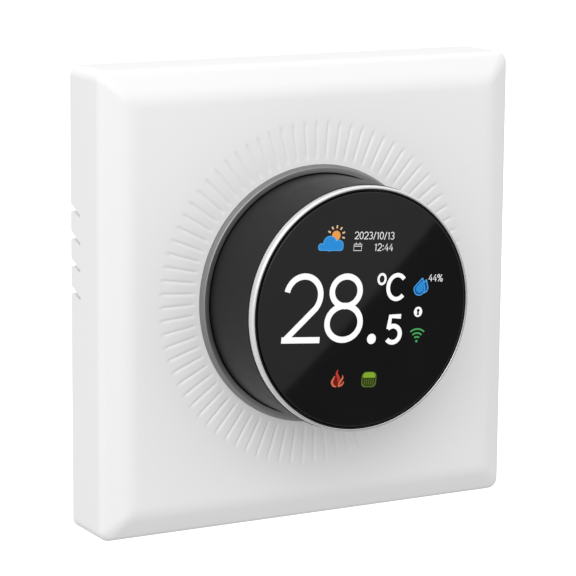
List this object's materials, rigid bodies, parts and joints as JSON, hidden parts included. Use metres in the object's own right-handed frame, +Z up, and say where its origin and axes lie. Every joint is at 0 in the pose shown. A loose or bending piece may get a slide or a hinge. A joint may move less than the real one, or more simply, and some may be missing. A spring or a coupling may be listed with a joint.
{
  "type": "wall thermostat",
  "caption": "Square bevelled wall-box thermostat with a round black knob that turns and presses in round a fixed black glass display.",
  "frame": {"origin": "centre of the wall plane, where the cover's back edge meets the wall, midway between the two wall box screw slots", "axes": "+Z up, +Y into the wall, so the display faces -Y; +X to the right of a person who faces the display"},
  "size_m": [0.086, 0.0592, 0.086],
  "materials": {
    "cover_white": "satin moulded white",
    "trim_satin": "satin anodised",
    "knob_black": "glossy moulded black",
    "bezel_chrome": "polished",
    "lens_black": "polished, black printed back",
    "adhesive_black": "foam tape",
    "display_dark": "display glass",
    "tray_white": "reflective tray",
    "board_green": "glass-epoxy board with solder mask",
    "connector_white": "natural nylon",
    "carrier_black": "fine moulded texture",
    "spring_steel": "drawn wire",
    "gear_acetal": "natural acetal",
    "part_black": "moulded component",
    "plunger_red": "moulded",
    "frame_grey": "moulded",
    "radio_blue": "glass-epoxy board",
    "shield_tin": "tinned sheet",
    "ribbon_amber": "polyimide film",
    "housing_white": "moulded",
    "relay_black": "moulded case",
    "winding_yellow": "taped winding and ferrite core",
    "capacitor_sleeve": "shrink sleeve",
    "film_grey": "potted box",
    "varistor_blue": "dipped epoxy",
    "fuse_glass": "ceramic tube with plated caps",
    "terminal_green": "moulded terminal strip",
    "clamp_tin": "nickel-plated",
    "screw_steel": "zinc-plated"
  },
  "bodies": {
    "root": {"front_cover": "cover_white", "trim_ring": "trim_satin", "return_spring_1": "spring_steel", "return_spring_2": "spring_steel", "return_spring_3": "spring_steel", "encoder_body": "part_black", "switch_body": "part_black", "chassis": "frame_grey", "control_board": "board_green", "ribbon_connector": "connector_white", "processor_chip": "part_black", "radio_module": "radio_blue", "radio_shield": "shield_tin", "pin_header": "part_black", "pin_socket": "part_black", "sensor_board": "board_green", "climate_sensor": "part_black", "sensor_link": "connector_white", "display_ribbon": "ribbon_amber", "rear_housing": "housing_white", "power_board": "board_green", "barrier_plate": "frame_grey", "relay": "relay_black", "transformer": "winding_yellow", "filter_capacitor": "capacitor_sleeve", "film_capacitor": "film_grey", "varistor": "varistor_blue", "fuse": "fuse_glass", "terminal_block": "terminal_green", "terminal_clamps": "clamp_tin", "terminal_screws": "screw_steel", "chassis_screws": "screw_steel", "control_board_screws": "screw_steel", "power_screws": "screw_steel"},
    "carriage": {"display_carrier": "carrier_black", "carriage_plate": "carrier_black", "carriage_screws": "screw_steel", "stop_screws": "screw_steel", "display_board": "board_green", "display_board_screws": "screw_steel", "display_connector": "connector_white", "backlight_tray": "tray_white", "lcd_panel": "display_dark", "lens_adhesive": "adhesive_black", "front_lens": "lens_black", "knob_clip": "spring_steel"},
    "knob": {"knob_sleeve": "knob_black", "bezel_ring": "bezel_chrome", "ring_gear": "gear_acetal"},
    "pinion": {"encoder_spindle": "screw_steel", "pinion_gear": "gear_acetal"},
    "plunger": {"switch_plunger": "plunger_red"}
  },
  "joints": [
    {"name": "press", "type": "slide", "parent": "root", "child": "carriage", "axis": [0, 1, 0], "range_m": [0, 0.0005], "stiffness_N_per_m": 2000, "springref_m": -0.001, "deforming": ["return_spring_1", "return_spring_2", "return_spring_3", "display_ribbon"]},
    {"name": "knob_spin", "type": "hinge", "parent": "carriage", "child": "knob", "pos_m": [0, -0.02, 0], "axis": [0, 1, 0], "continuous": true},
    {"name": "pinion_spin", "type": "hinge", "parent": "root", "child": "pinion", "pos_m": [0, -0.011, 0.01425], "axis": [0, 1, 0], "continuous": true},
    {"name": "plunger_slide", "type": "slide", "parent": "root", "child": "plunger", "axis": [0, 1, 0], "range_m": [0, 0.0005]}
  ],
  "couplings": [
    {"joint": "pinion_spin", "follows": "knob_spin", "ratio": 4},
    {"joint": "plunger_slide", "follows": "press", "ratio": 1}
  ]
}
